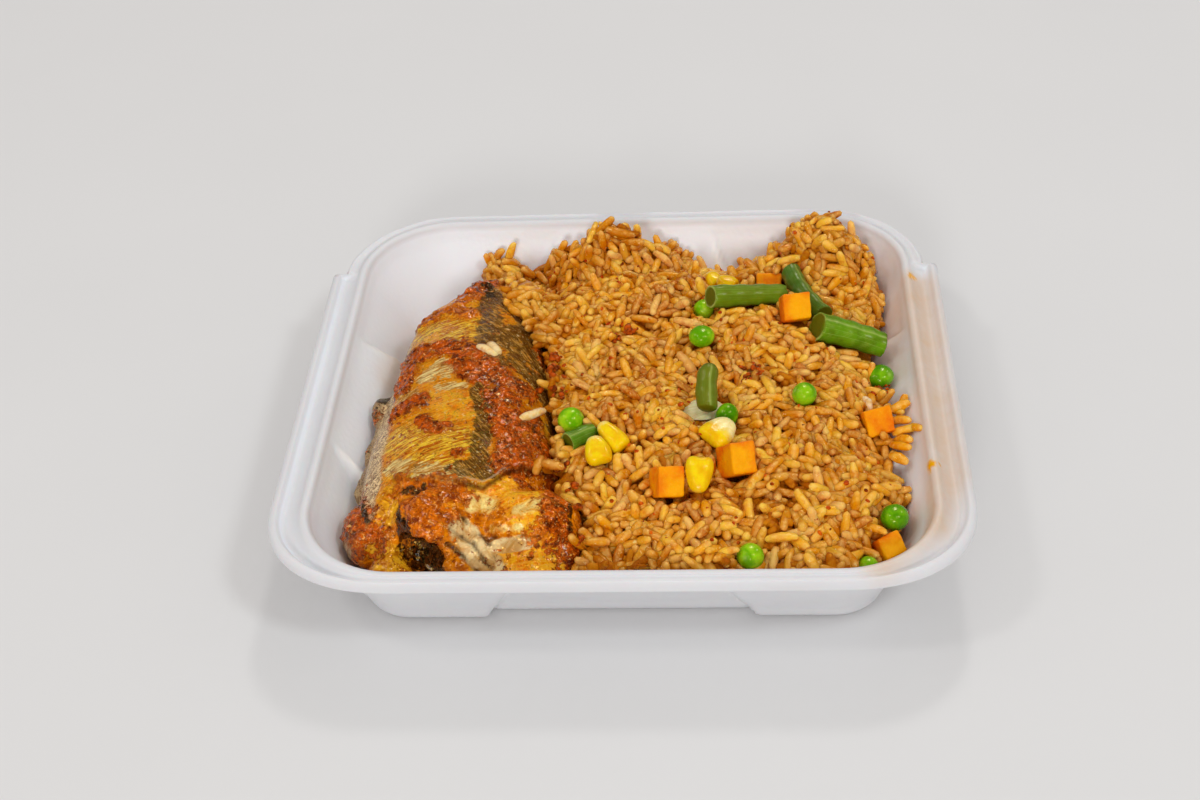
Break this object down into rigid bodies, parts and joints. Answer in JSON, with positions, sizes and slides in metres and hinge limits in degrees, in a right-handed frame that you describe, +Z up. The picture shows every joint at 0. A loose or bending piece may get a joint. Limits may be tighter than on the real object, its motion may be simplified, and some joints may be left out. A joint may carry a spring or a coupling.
{
  "type": "jollof rice with fried fish in a takeaway tray",
  "caption": "Orange jollof rice with peas, corn, carrot and green beans beside a stewed fried fish piece, in the base of a white foam takeaway tray.",
  "frame": {"origin": "centre of the bounding box at the bottom: the middle of the tray's outline, on the surface that it stands on", "axes": "+X across the tray to the rice's side, away from the fish; +Y from the eater's side to the torn hinge side; +Z up"},
  "size_m": [0.2138, 0.1922, 0.0493],
  "materials": {
    "foam": "white foamed plastic, fine beaded skin with a dull sheen",
    "rice": "cooked long grains stained golden orange, oily sheen",
    "fish": "fried golden to dark skin with glossy red-brown stew",
    "pea": "cooked green pea, wet gloss",
    "corn": "yellow kernel with a pale tip, wet gloss",
    "carrot": "orange dice with a moist cut face",
    "bean": "green pod skin with a fine seam, wet gloss",
    "onion": "pale translucent slice"
  },
  "bodies": {
    "root": {"tray": "foam", "rice": "rice", "fish": "fish", "pea_1": "pea", "pea_2": "pea", "pea_3": "pea", "pea_4": "pea", "pea_5": "pea", "pea_6": "pea", "pea_7": "pea", "pea_8": "pea", "pea_9": "pea", "corn_1": "corn", "corn_2": "corn", "corn_3": "corn", "corn_4": "corn", "corn_5": "corn", "corn_6": "corn", "carrot_1": "carrot", "carrot_2": "carrot", "carrot_3": "carrot", "carrot_4": "carrot", "carrot_5": "carrot", "carrot_6": "carrot", "bean_1": "bean", "bean_2": "bean", "bean_3": "bean", "bean_4": "bean", "bean_5": "bean", "onion": "onion"}
  },
  "joints": []
}
